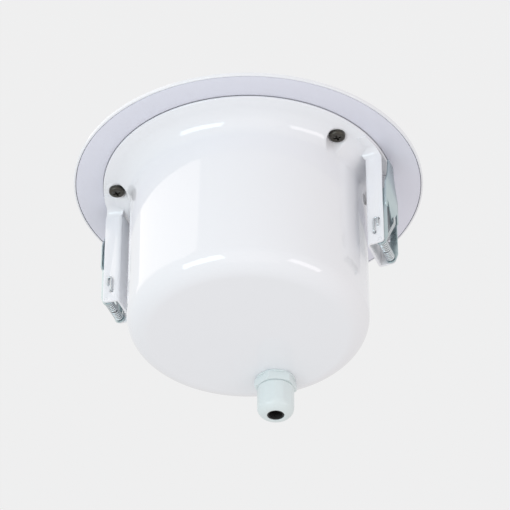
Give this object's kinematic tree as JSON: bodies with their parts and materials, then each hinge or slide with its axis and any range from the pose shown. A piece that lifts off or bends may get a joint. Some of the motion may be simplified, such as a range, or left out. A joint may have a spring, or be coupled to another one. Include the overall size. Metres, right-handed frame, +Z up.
{
  "type": "ceiling loudspeaker",
  "caption": "Round flush-mount ceiling loudspeaker: perforated grille, mounting ring, deep steel back can, sprung clamp wings that grip the ceiling and a domed cable gland.",
  "frame": {"origin": "On the axis of the can, in the plane of the mounting ring's back face, which lies against the ceiling.", "axes": "+Z points up into the ceiling void along the can's axis; +X points at one clamp; -Y points at the side where the cable gland stands."},
  "size_m": [0.198, 0.198, 0.1338],
  "materials": {
    "white_enamel": "satin white powder coat",
    "ring_enamel": "satin white powder coat, thin and bluish",
    "black_foam": "closed-cell foam",
    "dark_screw": "dark grey plated steel",
    "zinc_plate": "bluish zinc plate",
    "spring_wire": "drawn spring wire",
    "white_nylon": "moulded nylon",
    "black_rubber": "moulded rubber",
    "black_enamel": "black enamel",
    "tag_board": "paper laminate",
    "cone_paper": "pressed paper",
    "coil_former": "rolled foil",
    "copper": "enamelled copper wire",
    "spider_cloth": "varnished cloth",
    "ferrite": "ground ferrite",
    "lamination": "varnished laminations",
    "winding_tape": "wrapped tape",
    "ceramic": "glazed ceramic",
    "brass_screw": "turned brass"
  },
  "bodies": {
    "speaker": {"grille": "white_enamel", "mounting_ring": "ring_enamel", "flange_gasket": "black_foam", "back_can": "white_enamel", "can_screws": "dark_screw", "clamp_bracket_right": "white_enamel", "clamp_bracket_left": "white_enamel", "pivot_pin_right": "white_enamel", "pivot_pin_left": "white_enamel", "torsion_spring_right": "spring_wire", "torsion_spring_left": "spring_wire", "gland_body": "white_nylon", "gland_washer": "white_nylon", "gland_lock_nut": "white_nylon", "gland_seal": "black_rubber", "gland_dome_nut": "white_nylon", "driver_basket": "black_enamel", "driver_gasket": "black_foam", "driver_screws": "dark_screw", "driver_terminals": "tag_board", "surround": "black_rubber", "spider": "spider_cloth", "top_plate": "zinc_plate", "magnet_ring": "ferrite", "pole_yoke": "zinc_plate", "transformer_plate": "zinc_plate", "plate_screw": "zinc_plate", "transformer_core": "lamination", "transformer_bobbin": "white_nylon", "transformer_winding": "winding_tape", "transformer_strap": "zinc_plate", "terminal_block": "ceramic", "terminal_screws": "brass_screw"},
    "wing_right": {"clamp_wing_right": "zinc_plate"},
    "wing_left": {"clamp_wing_left": "zinc_plate"},
    "diaphragm": {"cone": "cone_paper", "whizzer_cone": "cone_paper", "dust_cap": "cone_paper", "voice_coil_former": "coil_former", "voice_coil_winding": "copper"}
  },
  "joints": [
    {"name": "wing_right_hinge", "type": "hinge", "parent": "speaker", "child": "wing_right", "pos_m": [0.0805, 0, 0.06433], "axis": [0, -1, 0], "range_deg": [0, 170], "stiffness_Nm_per_rad": 0.08, "springref_deg": -68.75, "deforming": ["torsion_spring_right"]},
    {"name": "wing_left_hinge", "type": "hinge", "parent": "speaker", "child": "wing_left", "pos_m": [-0.0805, 0, 0.06433], "axis": [0, 1, 0], "range_deg": [0, 170], "stiffness_Nm_per_rad": 0.08, "springref_deg": -68.75, "deforming": ["torsion_spring_left"]},
    {"name": "diaphragm_slide", "type": "slide", "parent": "speaker", "child": "diaphragm", "axis": [0, 0, 1], "range_m": [-0.003, 0.003], "stiffness_N_per_m": 1200, "deforming": ["surround", "spider"]}
  ]
}
